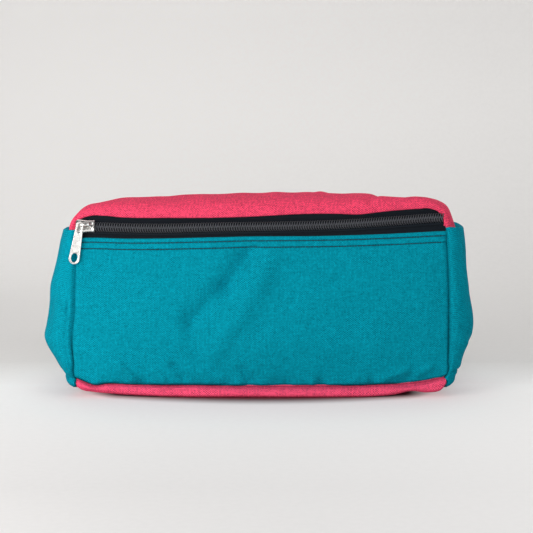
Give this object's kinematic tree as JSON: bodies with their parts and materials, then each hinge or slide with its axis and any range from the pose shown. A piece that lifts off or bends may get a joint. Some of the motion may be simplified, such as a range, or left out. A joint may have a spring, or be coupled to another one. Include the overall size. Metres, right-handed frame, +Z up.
{
  "type": "waist pack",
  "caption": "Two-colour cloth waist pack with a coil zip along its front edge, a padded back and a webbing belt with a side-release buckle.",
  "frame": {"origin": "centre of the flat underside of the base panel", "axes": "+X right as seen from the zip side, along the pack; +Y from the front panel to the wearer's back; +Z up"},
  "size_m": [0.278, 0.2352, 0.1264],
  "materials": {
    "teal_cloth": "woven, matt",
    "pink_cloth": "woven, matt",
    "black_mesh": "open spacer mesh, matt",
    "grey_lining": "coated nylon, matt",
    "foam": "closed-cell foam, matt",
    "zip_tape": "knitted tape, matt",
    "nylon_coil": "semi-gloss",
    "nickel": "plated, satin",
    "black_webbing": "ribbed webbing, matt",
    "black_plastic": "moulded, satin",
    "teal_thread": "polyester thread",
    "black_thread": "polyester thread"
  },
  "bodies": {
    "pack": {"front_panel": "teal_cloth", "bottom_panel": "pink_cloth", "side_panel_left": "teal_cloth", "side_panel_right": "teal_cloth", "back_panel": "black_mesh", "back_foam": "foam", "back_lining": "grey_lining", "zip_tape_lower": "zip_tape", "zip_coil_lower": "nylon_coil", "zip_tape_upper_ends": "zip_tape", "zip_coil_upper_ends": "nylon_coil", "zip_end_tab_left": "pink_cloth", "zip_end_tab_right": "pink_cloth", "front_topstitching": "teal_thread", "belt_wing_left": "teal_cloth", "belt_wing_right": "teal_cloth", "belt_left": "black_webbing", "belt_right": "black_webbing", "wing_stitching": "black_thread", "buckle_socket": "black_plastic", "buckle_plug": "black_plastic"},
    "lid": {"top_panel": "pink_cloth", "zip_tape_upper": "zip_tape", "zip_coil_upper": "nylon_coil"},
    "zip_slider": {"zip_slider": "nickel", "zip_bridge": "nickel"},
    "zip_pull": {"zip_pull": "nickel"},
    "prong_upper": {"buckle_prong_upper": "black_plastic"},
    "prong_lower": {"buckle_prong_lower": "black_plastic"},
    "keeper": {"belt_keeper": "black_plastic"}
  },
  "joints": [
    {"name": "mouth_open", "type": "hinge", "parent": "pack", "child": "lid", "pos_m": [0, 0.038, 0.1215], "axis": [-1, 0, 0], "range_deg": [0, 25]},
    {"name": "zip_slide", "type": "slide", "parent": "pack", "child": "zip_slider", "axis": [0.9997, 0, 0.0264], "range_m": [0, 0.21908], "deforming": ["zip_coil_lower", "zip_coil_upper", "zip_coil_upper_ends"]},
    {"name": "pull_swing", "type": "hinge", "parent": "zip_slider", "child": "zip_pull", "pos_m": [-0.11236, -0.03979, 0.10906], "axis": [0, -1, 0], "range_deg": [-70, 60]},
    {"name": "prong_upper_press", "type": "hinge", "parent": "pack", "child": "prong_upper", "pos_m": [0.002, 0.1873, 0.02942], "axis": [0, 0.9927, -0.1208], "range_deg": [0, 13], "stiffness_Nm_per_rad": 0.3},
    {"name": "prong_lower_press", "type": "hinge", "parent": "pack", "child": "prong_lower", "pos_m": [0.002, 0.18452, 0.00658], "axis": [0, -0.9927, 0.1208], "range_deg": [0, 13], "stiffness_Nm_per_rad": 0.3},
    {"name": "keeper_slide", "type": "slide", "parent": "pack", "child": "keeper", "axis": [1, 0, 0], "range_m": [-0.01, 0.01]}
  ],
  "couplings": [
    {"joint": "prong_lower_press", "follows": "prong_upper_press", "ratio": 1}
  ]
}
